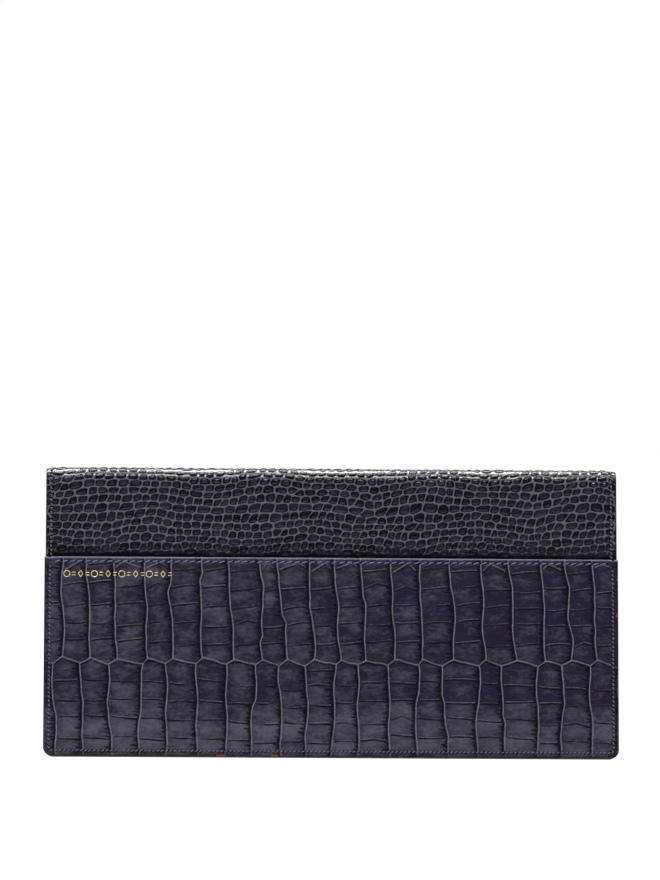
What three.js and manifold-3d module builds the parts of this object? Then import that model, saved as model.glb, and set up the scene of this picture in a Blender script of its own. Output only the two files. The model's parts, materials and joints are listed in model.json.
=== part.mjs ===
// Fold-over travel wallet for a passport, tickets, notes and cards, standing on its two long edges like a
// tent. Millimetres, +Z up. X runs along the wallet. The back panel, with the outer boarding-pass pocket,
// faces -Y. The front cover faces +Y. The origin is the middle of the footprint, on the standing surface.

import * as THREE from 'three';
import { mergeVertices } from 'three/addons/utils/BufferGeometryUtils.js';
import Module from 'manifold-3d';

// ---- Driving dimensions -------------------------------------------------------------------------------

const walletWidth = 230; // over the outer pocket
const shellWidth = 229.2; // the body leather is cut a little narrower than the pocket that wraps it
const panelHeight = 111.5; // from a panel's bottom edge up to where the spine starts to curve
const spineRadius = 6.2; // outer radius of the rounded spine
const leanDegrees = 10; // each panel leans this far from upright
const cornerRadius = 3.5; // bottom corners
const pocketCorner = 0.6; // mouth corners of the pockets
const outerPocketHeight = 80.3; // from the bottom edge to the mouth of the boarding-pass pocket

const layerGap = 0.3; // between two glued or sewn layers
const threadGap = 0.1; // between a seam and the leather it lies on
const jointGap = 0.3; // between a panel's pieces and the spine's pieces

const outerPocketThickness = 1.0;
const outerPocketLiningThickness = 0.5;
const shellThickness = 0.9;
const boardThickness = 0.6;
const liningThickness = 0.45;
const innerPocketThickness = 0.55;
const slotThickness = 0.45;
const spineBoardThickness = 0.4;

const boardInset = 6; // the stiffener stops short of the seams
const outerLiningInset = 3; // the lining of the outer pocket stops short of the seams
const liningTopInset = 1.2; // the linings stop below the panel's top end
const spineBoardTrim = 1.5; // arc length that the spine's reinforcement leaves free at each end
const spineLiningTrim = 0.6; // the same for the spine's lining
const innerInset = 1.0; // inner pockets stop short of the bottom edge

const ticketPocketHeight = 92;
const currencyPocketHeight = 74;
const documentPocketHeight = 96;
const passportPocketWidth = 134; // takes a 125 mm passport lying on its long side
const passportPocketHeight = 72;
const cardSlotHeights = [84, 68, 52]; // mouths of the three card slots, rear one first
const cardSlotFloors = [34, 18]; // the rear slots end above the bottom edge, the front one reaches it
const columnGap = 1.2; // between the passport pocket and the card slots

const seamWidth = 0.5;
const seamHeight = 0.25;
const channelDepth = 0.4; // the outer seams lie sunk in a pressed channel
const channelGap = 0.15; // free space on each side of a seam in its channel
const seamInset = 2.1; // perimeter seam, from the cut edge
const mouthSeamInset = 1.9; // mouth seams, below a pocket's mouth
const mouthSeamEnd = 3.6; // mouth seams stop this far from the side edges
const sideSeamInset = 1.6; // seams along the inner sides of the passport pocket and the card slots

const spineSegments = 24;
const cornerSegments = 3;

// ---- Materials ----------------------------------------------------------------------------------------

function finish(color, roughness, metalness = 0) {
  return new THREE.MeshStandardMaterial({ color, roughness, metalness });
}

const bellyLeather = () => finish(0x3d3a4b, 0.42);
const flankLeather = () => finish(0x24222c, 0.28);
const liningLeather = () => finish(0x2b2a3c, 0.6);
const pocketLeather = () => finish(0x2f2d42, 0.55);
const board = () => finish(0x8c8577, 0.9);
const thread = () => finish(0x6f6798, 0.7);

// ---- Outlines and solids ------------------------------------------------------------------------------

// A rectangle from (left, bottom) to (right, top) with its own radius at the bottom and at the top corners.
function outline(left, right, bottom, top, bottomRadius, topRadius) {
  const shape = new THREE.Shape();
  shape.moveTo(left + bottomRadius, bottom);
  shape.lineTo(right - bottomRadius, bottom);
  shape.absarc(right - bottomRadius, bottom + bottomRadius, bottomRadius, -Math.PI / 2, 0, false);
  shape.lineTo(right, top - topRadius);
  shape.absarc(right - topRadius, top - topRadius, topRadius, 0, Math.PI / 2, false);
  shape.lineTo(left + topRadius, top);
  shape.absarc(left + topRadius, top - topRadius, topRadius, Math.PI / 2, Math.PI, false);
  shape.lineTo(left, bottom + bottomRadius);
  shape.absarc(left + bottomRadius, bottom + bottomRadius, bottomRadius, Math.PI, 1.5 * Math.PI, false);
  return shape;
}

const wasm = await Module();
wasm.setup();

function toManifold(geometry) {
  const bare = geometry.clone();
  bare.deleteAttribute('normal');
  bare.deleteAttribute('uv');
  const merged = mergeVertices(bare);
  const vertProperties = merged.attributes.position.array;
  const triVerts = Uint32Array.from(merged.index.array);
  return new wasm.Manifold(new wasm.Mesh({ numProp: 3, vertProperties, triVerts }));
}

function cut(geometry, cutter) {
  const { vertProperties, triVerts } = toManifold(geometry).subtract(toManifold(cutter)).getMesh();
  const result = new THREE.BufferGeometry();
  result.setAttribute('position', new THREE.BufferAttribute(vertProperties, 3));
  result.setIndex(new THREE.BufferAttribute(triVerts, 1));
  result.computeVertexNormals();
  return result;
}

// A flat sheet whose outer face lies at the given depth behind the panel's outer face.
function sheet(name, material, shape, depth, thickness) {
  const settings = { depth: thickness, bevelEnabled: false, curveSegments: cornerSegments };
  const geometry = new THREE.ExtrudeGeometry(shape, settings);
  geometry.translate(0, 0, -depth - thickness);
  const mesh = new THREE.Mesh(geometry, material);
  mesh.name = name;
  return mesh;
}

// ---- Seams --------------------------------------------------------------------------------------------

// A U-shaped band along the perimeter: down one side, round the bottom corners and up the other side.
function perimeterBand(width, top, bandWidth) {
  const half = width / 2 - seamInset;
  const outer = half + bandWidth / 2;
  const inner = half - bandWidth / 2;
  const outerRadius = cornerRadius - seamInset + bandWidth / 2;
  const innerRadius = outerRadius - bandWidth;
  const bottom = seamInset - bandWidth / 2;
  const centre = bottom + outerRadius;
  const shape = new THREE.Shape();
  shape.moveTo(-outer, top);
  shape.lineTo(-outer, centre);
  shape.absarc(-outer + outerRadius, centre, outerRadius, Math.PI, 1.5 * Math.PI, false);
  shape.lineTo(outer - outerRadius, bottom);
  shape.absarc(outer - outerRadius, centre, outerRadius, -Math.PI / 2, 0, false);
  shape.lineTo(outer, top);
  shape.lineTo(inner, top);
  shape.lineTo(inner, centre);
  shape.absarc(inner - innerRadius, centre, innerRadius, 0, -Math.PI / 2, true);
  shape.lineTo(-inner + innerRadius, bottom + bandWidth);
  shape.absarc(-inner + innerRadius, centre, innerRadius, 1.5 * Math.PI, Math.PI, true);
  shape.lineTo(-inner, top);
  return shape;
}


// A straight band along the line from one point to another, level or upright.
function straightBand(from, to, bandWidth) {
  const [left, bottom] = from;
  const [right, top] = to;
  const acrossX = left === right ? bandWidth / 2 : 0;
  const acrossY = bottom === top ? bandWidth / 2 : 0;
  const corners = [
    [left - acrossX, bottom - acrossY],
    [right + acrossX, bottom - acrossY],
    [right + acrossX, top + acrossY],
    [left - acrossX, top + acrossY]
  ];
  return new THREE.Shape(corners.map(([x, y]) => new THREE.Vector2(x, y)));
}

// A seam on the inner face of an inner pocket. It stands a little proud of the thin leather.
function proudSeam(name, shape, innerFaceDepth) {
  return sheet(name, thread(), shape, innerFaceDepth + threadGap, seamHeight);
}

// A seam sunk in a channel that is cut into its sheet's outer face.
// band(bandWidth, reach) is the outline of a band along the seam, with its open ends drawn out by reach.
function sunkSeam(name, band, carrier, faceDepth) {
  const channel = new THREE.ExtrudeGeometry(band(seamWidth + 2 * channelGap, channelGap), {
    depth: 2 * channelDepth,
    bevelEnabled: false,
    curveSegments: cornerSegments
  });
  channel.translate(0, 0, -faceDepth - channelDepth);
  carrier.geometry = cut(carrier.geometry, channel);
  return sheet(name, thread(), band(seamWidth, 0), faceDepth + seamSink, seamHeight);
}

// ---- Layers, by the depth of their outer faces behind a panel's outer face ----------------------------

const boardDepth = shellThickness + layerGap;
const liningDepth = boardDepth + boardThickness + layerGap;
const firstPocketDepth = liningDepth + liningThickness + layerGap;
const secondPocketDepth = firstPocketDepth + innerPocketThickness + layerGap;
const outerLiningDepth = -layerGap - outerPocketLiningThickness;
const outerPocketDepth = outerLiningDepth - layerGap - outerPocketThickness;

const seamSink = channelDepth - threadGap - seamHeight; // from a leather's face down to its sunk seam

const halfShell = shellWidth / 2;
const panelTop = panelHeight - jointGap;

function shellSheet(name) {
  const shape = outline(-halfShell, halfShell, 0, panelTop, cornerRadius, 0.05);
  return sheet(name, flankLeather(), shape, 0, shellThickness);
}

function boardSheet(name) {
  const half = halfShell - boardInset;
  const shape = outline(-half, half, boardInset, panelTop - boardInset, 2, 2);
  return sheet(name, board(), shape, boardDepth, boardThickness);
}

function liningSheet(name) {
  const shape = outline(-halfShell, halfShell, 0, panelTop - liningTopInset, cornerRadius, 0.2);
  return sheet(name, liningLeather(), shape, liningDepth, liningThickness);
}

// An inner pocket between two side positions, sewn down at its sides and bottom.
function innerPocket(name, left, right, floor, mouth, depth, thickness) {
  const bottomRadius = floor > innerInset ? 0.4 : cornerRadius - innerInset;
  const shape = outline(left, right, floor, mouth, bottomRadius, pocketCorner);
  return sheet(name, pocketLeather(), shape, depth, thickness);
}

function innerMouthSeam(name, left, right, mouth, innerFaceDepth) {
  const level = mouth - mouthSeamInset;
  const shape = straightBand([left + mouthSeamEnd, level], [right - mouthSeamEnd, level], seamWidth);
  return proudSeam(name, shape, innerFaceDepth);
}

// The seam that holds a pocket's inner side down, up to just under its mouth seam.
function sideSeam(name, middle, mouth, innerFaceDepth) {
  const ends = [[middle, innerInset + seamInset], [middle, mouth - 2 * mouthSeamInset]];
  return proudSeam(name, straightBand(...ends, seamWidth), innerFaceDepth);
}

// ---- Back panel ---------------------------------------------------------------------------------------

function backPanel() {
  const panel = new THREE.Group();
  const half = walletWidth / 2;
  const left = -halfShell + innerInset;
  const right = halfShell - innerInset;
  const pocketShape = outline(-half, half, 0, outerPocketHeight, cornerRadius, 0.3);
  const liningShape = outline(
    -half + outerLiningInset,
    half - outerLiningInset,
    outerLiningInset,
    outerPocketHeight - layerGap,
    cornerRadius,
    0.3
  );
  const leather = shellSheet('back_leather');
  const pocket = sheet(
    'boarding_pocket_leather',
    bellyLeather(),
    pocketShape,
    outerPocketDepth,
    outerPocketThickness
  );
  const seamTop = outerPocketHeight - mouthSeamEnd;
  const mouthLevel = outerPocketHeight - mouthSeamInset;
  panel.add(
    sunkSeam(
      'back_perimeter_seam',
      (bandWidth, reach) => perimeterBand(walletWidth, seamTop + reach, bandWidth),
      pocket,
      outerPocketDepth
    ),
    sunkSeam(
      'boarding_pocket_mouth_seam',
      (bandWidth, reach) => {
        const end = half - mouthSeamEnd + reach;
        return straightBand([-end, mouthLevel], [end, mouthLevel], bandWidth);
      },
      pocket,
      outerPocketDepth
    )
  );
  for (const [side, name] of [[-1, 'left'], [1, 'right']]) {
    const middle = side * (halfShell - seamInset);
    const band = (bandWidth, reach) => {
      const bottom = outerPocketHeight + layerGap - reach;
      return straightBand([middle, bottom], [middle, panelTop + reach], bandWidth);
    };
    panel.add(sunkSeam(`back_upper_seam_${name}`, band, leather, 0));
  }
  panel.add(
    leather,
    boardSheet('back_stiffener_board'),
    liningSheet('back_lining'),
    pocket,
    sheet(
      'boarding_pocket_lining',
      liningLeather(),
      liningShape,
      outerLiningDepth,
      outerPocketLiningThickness
    ),
    innerPocket(
      'ticket_pocket',
      left,
      right,
      innerInset,
      ticketPocketHeight,
      firstPocketDepth,
      innerPocketThickness
    ),
    innerMouthSeam(
      'ticket_pocket_mouth_seam',
      left,
      right,
      ticketPocketHeight,
      firstPocketDepth + innerPocketThickness
    ),
    innerPocket(
      'currency_pocket',
      left,
      right,
      innerInset,
      currencyPocketHeight,
      secondPocketDepth,
      innerPocketThickness
    ),
    innerMouthSeam(
      'currency_pocket_mouth_seam',
      left,
      right,
      currencyPocketHeight,
      secondPocketDepth + innerPocketThickness
    )
  );
  return panel;
}

// ---- Front cover --------------------------------------------------------------------------------------

function frontCover() {
  const cover = new THREE.Group();
  const left = -halfShell + innerInset;
  const right = halfShell - innerInset;
  const passportRight = left + passportPocketWidth;
  const slotLeft = passportRight + columnGap;
  const leather = shellSheet('front_leather');
  cover.add(
    sunkSeam(
      'front_perimeter_seam',
      (bandWidth, reach) => perimeterBand(shellWidth, panelTop + reach, bandWidth),
      leather,
      0
    ),
    leather,
    boardSheet('front_stiffener_board'),
    liningSheet('front_lining'),
    innerPocket(
      'document_pocket',
      left,
      right,
      innerInset,
      documentPocketHeight,
      firstPocketDepth,
      innerPocketThickness
    ),
    innerMouthSeam(
      'document_pocket_mouth_seam',
      left,
      right,
      documentPocketHeight,
      firstPocketDepth + innerPocketThickness
    ),
    innerPocket(
      'passport_pocket',
      left,
      passportRight,
      innerInset,
      passportPocketHeight,
      secondPocketDepth,
      innerPocketThickness
    ),
    innerMouthSeam(
      'passport_pocket_mouth_seam',
      left,
      passportRight,
      passportPocketHeight,
      secondPocketDepth + innerPocketThickness
    ),
    sideSeam(
      'passport_pocket_side_seam',
      passportRight - sideSeamInset,
      passportPocketHeight,
      secondPocketDepth + innerPocketThickness
    )
  );
  const slotNames = ['rear', 'middle', 'front'];
  slotNames.forEach((name, index) => {
    const depth = secondPocketDepth + index * (slotThickness + layerGap);
    const mouth = cardSlotHeights[index];
    const floor = cardSlotFloors[index] ?? innerInset;
    cover.add(
      innerPocket(`card_slot_${name}`, slotLeft, right, floor, mouth, depth, slotThickness),
      innerMouthSeam(`card_slot_${name}_mouth_seam`, slotLeft, right, mouth, depth + slotThickness)
    );
  });
  const frontSlot = cardSlotHeights.length - 1;
  const frontSlotFace = secondPocketDepth + frontSlot * (slotThickness + layerGap) + slotThickness;
  cover.add(
    sideSeam('card_slot_side_seam', slotLeft + sideSeamInset, cardSlotHeights[frontSlot], frontSlotFace)
  );
  return cover;
}

// ---- Spine --------------------------------------------------------------------------------------------

const lean = THREE.MathUtils.degToRad(leanDegrees);

// A curved band round the spine's axis between two radii, from one panel's top to the other's, centred at x.
// trim is the arc length left free at each end.
function arch(outerRadius, thickness, x, length, trim) {
  const innerRadius = outerRadius - thickness;
  const start = lean + trim / outerRadius;
  const end = Math.PI - start;
  const shape = new THREE.Shape();
  shape.absarc(0, 0, outerRadius, start, end, false);
  shape.absarc(0, 0, innerRadius, end, start, true);
  const settings = { depth: length, bevelEnabled: false, curveSegments: spineSegments };
  const geometry = new THREE.ExtrudeGeometry(shape, settings);
  geometry.translate(0, 0, x - length / 2);
  const alongY = new THREE.Vector3(0, 1, 0);
  const alongZ = new THREE.Vector3(0, 0, 1);
  const alongX = new THREE.Vector3(1, 0, 0);
  geometry.applyMatrix4(new THREE.Matrix4().makeBasis(alongY, alongZ, alongX));
  return geometry;
}

function spinePiece(name, material, geometry) {
  const mesh = new THREE.Mesh(geometry, material);
  mesh.name = name;
  return mesh;
}

function spine() {
  const group = new THREE.Group();
  const reinforcementRadius = spineRadius - shellThickness - layerGap;
  const liningRadius = reinforcementRadius - spineBoardThickness - layerGap;
  const boardLength = 2 * (halfShell - boardInset);
  let leather = arch(spineRadius, shellThickness, 0, shellWidth, 0);
  for (const [side, name] of [[-1, 'left'], [1, 'right']]) {
    const x = side * (halfShell - seamInset);
    const channelWidth = seamWidth + 2 * channelGap;
    leather = cut(leather, arch(spineRadius + channelDepth, 2 * channelDepth, x, channelWidth, -channelGap));
    const seam = arch(spineRadius - seamSink, seamHeight, x, seamWidth, 0);
    group.add(spinePiece(`spine_seam_${name}`, thread(), seam));
  }
  group.add(
    spinePiece('spine_leather', flankLeather(), leather),
    spinePiece(
      'spine_reinforcement',
      board(),
      arch(reinforcementRadius, spineBoardThickness, 0, boardLength, spineBoardTrim)
    ),
    spinePiece(
      'spine_lining',
      liningLeather(),
      arch(liningRadius, liningThickness, 0, shellWidth, spineLiningTrim)
    )
  );
  return group;
}

// ---- Assembly -----------------------------------------------------------------------------------------

// The lowest point of a panel is the inner bottom edge of its lining.
const footDepth = liningDepth + liningThickness;
const spineAxisHeight = panelHeight * Math.cos(lean) + (footDepth - spineRadius) * Math.sin(lean);
// The outer pocket stands out on one side only, so the spine sits off the middle of the footprint by half.
const spineAxisY = (-outerPocketDepth * Math.cos(lean)) / 2;

// Stands a panel up so that its local y runs up the panel and its local z points out of it.
function leaning(panel, turn) {
  const upright = new THREE.Group();
  const reachDown = new THREE.Vector3(0, -panelHeight, spineRadius);
  panel.position.copy(reachDown);
  upright.add(panel);
  upright.rotation.set(Math.PI / 2 - lean, 0, turn, 'ZYX');
  return upright;
}

const wallet = new THREE.Group();
wallet.add(leaning(backPanel(), 0), spine(), leaning(frontCover(), Math.PI));
wallet.position.set(0, spineAxisY, spineAxisHeight);

export default wallet;
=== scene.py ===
"""Looks of the passport holder wallet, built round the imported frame. Sizes are in mm until a mesh is made."""

import json
import math

import bpy
import numpy as np
from mathutils import Matrix, Vector


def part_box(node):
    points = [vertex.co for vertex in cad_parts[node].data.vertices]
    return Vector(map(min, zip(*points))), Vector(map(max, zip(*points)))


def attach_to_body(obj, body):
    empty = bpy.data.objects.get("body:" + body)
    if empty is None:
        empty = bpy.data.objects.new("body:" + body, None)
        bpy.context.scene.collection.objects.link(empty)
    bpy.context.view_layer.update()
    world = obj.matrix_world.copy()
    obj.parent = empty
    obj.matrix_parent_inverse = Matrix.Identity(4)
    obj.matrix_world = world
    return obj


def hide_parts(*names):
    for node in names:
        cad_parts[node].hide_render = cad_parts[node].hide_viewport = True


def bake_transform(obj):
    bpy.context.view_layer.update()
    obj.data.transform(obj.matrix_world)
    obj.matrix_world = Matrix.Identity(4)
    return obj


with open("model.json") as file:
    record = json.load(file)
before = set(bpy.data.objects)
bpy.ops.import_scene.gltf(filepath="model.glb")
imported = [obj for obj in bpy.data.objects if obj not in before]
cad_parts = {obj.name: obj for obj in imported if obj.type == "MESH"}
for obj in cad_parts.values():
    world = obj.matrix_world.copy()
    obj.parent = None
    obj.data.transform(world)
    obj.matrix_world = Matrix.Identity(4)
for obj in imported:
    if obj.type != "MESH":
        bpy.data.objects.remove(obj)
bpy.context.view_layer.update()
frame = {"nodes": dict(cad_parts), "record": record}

MM = 0.001
FINE = 0.34  # grid step of the embossed leathers
FRONT_STEP = 0.44  # that of the front cover, which is less seen
PLAIN = 1.6  # that of the smooth leathers

# ---- Measures taken from the frame ----


def box_mm(node):
    return [np.array(corner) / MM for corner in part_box(node)]


pocket_low, pocket_high = box_mm("boarding_pocket_leather")
shell_low, shell_high = box_mm("back_leather")
spine_low, spine_high = box_mm("spine_leather")
back_face = next(m for m in frame["record"]["mounts"] if m["name"] == "back_face")

LEAN = math.asin(back_face["axis"][2])
POCKET_WIDTH = pocket_high[0] - pocket_low[0]
SHELL_WIDTH = shell_high[0] - shell_low[0]
RADIUS = (spine_high[1] - spine_low[1]) / 2 / math.cos(LEAN)
AXIS_Y = (spine_high[1] + spine_low[1]) / 2
AXIS_Z = spine_high[2] - RADIUS
HEIGHT = (spine_low[1] - shell_low[1]) / math.sin(LEAN)
ARC = (math.pi - 2 * LEAN) * RADIUS
TOTAL = 2 * HEIGHT + ARC
MIDDLE = TOTAL / 2
FRONT_START = HEIGHT + ARC

CORNER = 3.5  # radius of the covers' rounded corners
BOND = -1.15  # where the shell's painted edge meets the lining's
SEAM_INSET = 2.1  # from the cut edge
SIDE_PITCH = 1.7  # stitch lengths
MOUTH_PITCH = 3.0


def reach(node):
    """Lowest and highest x, t and depth of a CAD node, in the terms of fold()."""
    points = np.array([vertex.co for vertex in frame["nodes"][node].data.vertices]) / MM
    x, y, up = points[:, 0], points[:, 1] - AXIS_Y, points[:, 2] - AXIS_Z
    side = np.abs(y)
    along = up * math.cos(LEAN) - side * math.sin(LEAN)
    out = side * math.cos(LEAN) + up * math.sin(LEAN)
    on_panel = along <= 1e-3
    angle = np.arctan2(up, side)
    t = HEIGHT + np.where(on_panel, along, (angle - LEAN) * RADIUS)
    t = np.where(y > 0, TOTAL - t, t)
    depth = np.where(on_panel, out, np.hypot(side, up)) - RADIUS
    return [(float(a.min()), float(a.max())) for a in (x, t, depth)]


_, (_, POCKET_MOUTH), (POCKET_BACK, POCKET_FACE) = reach("boarding_pocket_leather")
SHELL_BACK = reach("back_leather")[2][0]


def fold(x, t, d):
    """Points at x along the wallet, t round its outside from the back's bottom edge, and d out of it."""
    x, t, d = (np.asarray(a, float) for a in np.broadcast_arrays(x, t, d))
    angle = LEAN + np.clip(t - HEIGHT, 0, ARC) / RADIUS
    straight = np.minimum(t - HEIGHT, 0) + np.maximum(t - HEIGHT - ARC, 0)
    y = AXIS_Y - (RADIUS + d) * np.cos(angle) + straight * np.sin(angle)
    z = AXIS_Z + (RADIUS + d) * np.sin(angle) + straight * np.cos(angle)
    return np.stack([x, y, z], -1)


# ---- Number helpers ----


def smooth(low, high, value):
    """0 at low, 1 at high, and an easy curve between them."""
    t = np.clip((value - low) / (high - low), 0, 1)
    return t * t * (3 - 2 * t)


def bump(distance, width):
    """1 at distance 0, and nearly 0 from twice the width on."""
    return np.exp(-((distance / width) ** 2))


def noise(x, y, size_x, size_y, seed):
    """Smooth noise from -1 to 1 with features of the given sizes."""
    table = np.random.default_rng(seed).random((64, 64))
    u, v = np.broadcast_arrays(np.asarray(x) / size_x, np.asarray(y) / size_y)
    i, j = np.floor(u).astype(int), np.floor(v).astype(int)
    fu, fv = smooth(0, 1, u - i), smooth(0, 1, v - j)
    low = table[i % 64, j % 64] * (1 - fu) + table[(i + 1) % 64, j % 64] * fu
    high = table[i % 64, (j + 1) % 64] * (1 - fu) + table[(i + 1) % 64, (j + 1) % 64] * fu
    return 2 * (low * (1 - fv) + high * fv) - 1


def steps(length, step, first=(0, 0.08, 0.2, 0.36), last=(0, 0.08, 0.2, 0.36)):
    """Positions from 0 to length, close together at the two ends and about a step apart between them."""
    inner_low, inner_high = first[-1], length - last[-1]
    count = max(2, round((inner_high - inner_low) / step))
    middle = np.linspace(inner_low, inner_high, count + 1)[1:-1]
    return np.concatenate([first, middle, length - np.array(last[::-1])])


CORNER_STEPS = CORNER * (1 - np.cos(np.linspace(0, math.pi / 2, 11)))


def half_width(v, width, corner=CORNER):
    """Half the width of a sheet with rounded bottom corners, at height v above its bottom edge."""
    below = np.clip(corner - v, 0, corner)
    return width / 2 - corner + np.sqrt(corner**2 - below**2)


def edge_distance(x, v, width, corner=CORNER):
    """Distance from the side or bottom edge of such a sheet."""
    from_side = width / 2 - np.abs(x)
    across = np.maximum(corner - from_side, 0)
    down = np.maximum(corner - v, 0)
    return np.where((across > 0) & (down > 0), corner - np.hypot(across, down), np.minimum(from_side, v))


# ---- Embossed scales ----
# Each pattern returns height in mm, and from 0 to 1 how much of the pale line and of the dark mark shows,
# and a tone for each point. The dark marks are painted shade in the valleys, cuts, creases and the small
# scales' rims, over the dye that pools in the valleys. The tone is a value of its own for each scale, and
# the large scales add painted light and shade from their rounding to it.


class Block:
    """Upright columns of large square scales between two heights, each with a bead on its left side."""

    RUNG_SPACING = 7.4
    NOTCH_PITCH = 1.6

    def __init__(self, rng, beads, low, high, lean, rung_slope, crowned=0.0):
        self.low, self.high, self.beads = low, high, beads
        count = len(beads)
        self.lean = rng.uniform(*lean, count)
        self.sway = rng.uniform(0.25, 0.65, count)
        self.sway_length = rng.uniform(20, 38, count)
        self.phase = rng.uniform(0, 2 * math.pi, count)
        self.kink = np.where(rng.random(count) < 0.4, rng.uniform(-2.0, 2.0, count), 0)
        self.kink_at = rng.uniform(low + 8, high - 8, count)
        rungs = int((high - low) / self.RUNG_SPACING) + 2
        cells = (count, rungs)
        level = low + self.RUNG_SPACING * (np.arange(rungs) + 0.1)
        common = np.cumsum(rng.normal(0, 0.5, (count, 1)), 0)
        common -= np.linspace(common[0, 0], common[-1, 0], count)[:, None]
        self.rung = level + common + rng.normal(0, 0.55, cells)
        self.rung_slope = rng.uniform(*rung_slope, cells)
        self.rung_curve = rng.normal(0, 0.35, cells)
        self.rung_peak = np.where(rng.random(cells) < 0.07, rng.uniform(1.2, 2.4, cells), 0)
        self.rung_start = np.where(rng.random(cells) < 0.05, 0.35, -0.1)
        self.rung_stop = np.where(rng.random(cells) < 0.07, 0.6, 1.1)
        self.rung_depth = rng.uniform(0.45, 1, cells)
        notches = (count, int((high - low) / self.NOTCH_PITCH) + 6)
        self.notch_shift = rng.uniform(-0.3, 0.3, notches)
        self.notch_length = rng.uniform(0.5, 2.9, notches) * rng.choice([0.6, 1, 1.25], notches)
        self.notch_depth = rng.uniform(0.65, 1, notches)
        self.notch_width = rng.uniform(0.36, 0.58, notches)
        self.gloss = rng.random((count, rungs + 1))
        self.tilt = rng.normal(0, 1, (count, rungs + 1))
        self.crown_fall = np.where(rng.random(count) < crowned, rng.uniform(1.6, 4.4, count), 0)
        self.crown_peak = rng.uniform(0.3, 0.7, count)

    def bead_lines(self, v):
        share = (v[:, None] - self.low) / (self.high - self.low)
        wave = np.sin(2 * math.pi * v[:, None] / self.sway_length + self.phase) * self.sway
        step = self.kink * smooth(-2.2, 2.2, v[:, None] - self.kink_at)
        small = noise(v[:, None], self.beads + self.phase, 4.3, 1, 5) * 0.26
        return self.beads + self.lean * (0.5 - share) + wave + step + small

    def evaluate(self, x, v):
        lines = self.bead_lines(v)
        index = (x[:, :, None] > lines[:, None, :]).sum(-1)
        index = np.clip(index, 1, len(self.beads) - 1)
        left = np.take_along_axis(lines, index - 1, 1)
        right = np.take_along_axis(lines, index, 1)
        column = index - 1
        height_v = np.broadcast_to(v[:, None], x.shape)
        from_left, from_right = x - left, right - x
        width = right - left
        u = from_left / width
        rough_edge = 0.12 * noise(x, height_v, 0.8, 0.9, 11)
        bead = np.maximum(bump(from_left, 0.42), bump(from_right, 0.42))
        # The valley, fringe and groove values darken the colour: painted shade where the leather falls into the
        # valley beside each bead, over the dye that pools there.
        valley = 0.94 * bump(from_right - 0.76 + rough_edge, 0.42)
        groove = bump(from_left - 0.8, 0.32)
        fringe = 0.36 * smooth(3.6, 1.0, from_right) * smooth(0.4, 0.8, from_right)
        dark = np.maximum(valley, fringe) + 0.3 * groove
        notch = self.notches(column, height_v, from_right)
        rung_line, rung_dark, rung_height, share, cell = self.rungs(column, height_v, u, width)
        pillow = 1 - (2 * share - 1) ** 2
        across = smooth(0.3, 0.9, from_left) * smooth(0.9, 1.6, from_right)
        line = np.maximum(0.95 * bead, rung_line * across)
        # Painted shade in the notches and under the cross folds.
        dark = np.maximum(np.maximum(dark, rung_dark * across), notch)
        crown = self.crown(column, height_v, u)
        # A pale line along the gable, with painted shade under it.
        line = np.maximum(line, 0.85 * bump(crown, 0.4) * across)
        dark = np.maximum(dark, 0.6 * bump(crown + 0.65, 0.36) * across)
        own, tilt = self.gloss[column, cell], self.tilt[column, cell]
        height = (0.12 + 0.16 * pillow) * (1 - (2 * u - 1) ** 4) * (1 - bead)
        height = height + 0.02 * tilt * (2 * u - 1)
        height = height + 0.16 * bead - 0.26 * valley - 0.06 * groove - 0.2 * notch
        height = height + rung_height * across
        # Painted light and shade: each scale lighter in its middle and towards its top, darker towards its
        # bottom, its right side and its left bead, as its rounding turns from the light; over its own random
        # tone.
        tone = 0.12 + 0.42 * own + 0.38 * pillow * (1 - (2 * u - 1) ** 2) + 0.3 * (share - 0.5)
        tone = tone - 0.45 * bump(from_right - 0.6, 2.4) - 0.12 * bump(from_left, 2.0)
        return height, line, dark, np.clip(tone, 0, 1)

    def crown(self, column, v, u):
        """Distance above the gable that closes some columns just under the upper end."""
        fall, peak = self.crown_fall[column], self.crown_peak[column]
        gable = np.maximum((peak - u) / peak, (u - peak) / (1 - peak))
        above = (v - (self.high - 3.0 - fall * gable)) / np.hypot(1, fall / 5)
        return np.where(fall > 0, above, 9.0)

    def notches(self, column, v, from_right):
        """How deep the short cross cuts at the columns' right sides are."""
        place = (v - self.low) / self.NOTCH_PITCH + 2
        nearest = np.floor(place).astype(int)
        shown = np.zeros_like(v)
        for offset in (-1, 0, 1):
            k = np.clip(nearest + offset, 0, self.notch_shift.shape[1] - 1)
            middle = (k + 0.5 + self.notch_shift[column, k] - 2) * self.NOTCH_PITCH + self.low
            middle = middle + 0.1 * (from_right - 1.4)
            reach = self.notch_length[column, k]
            along = smooth(reach + 1.6, 1.2 + 0.3 * reach, from_right) * smooth(0.6, 1.1, from_right)
            width = self.notch_width[column, k] * (1 - 0.5 * smooth(1.0, reach + 1.6, from_right))
            shown = np.maximum(shown, bump(v - middle, width) * along * self.notch_depth[column, k])
        return shown

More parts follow.
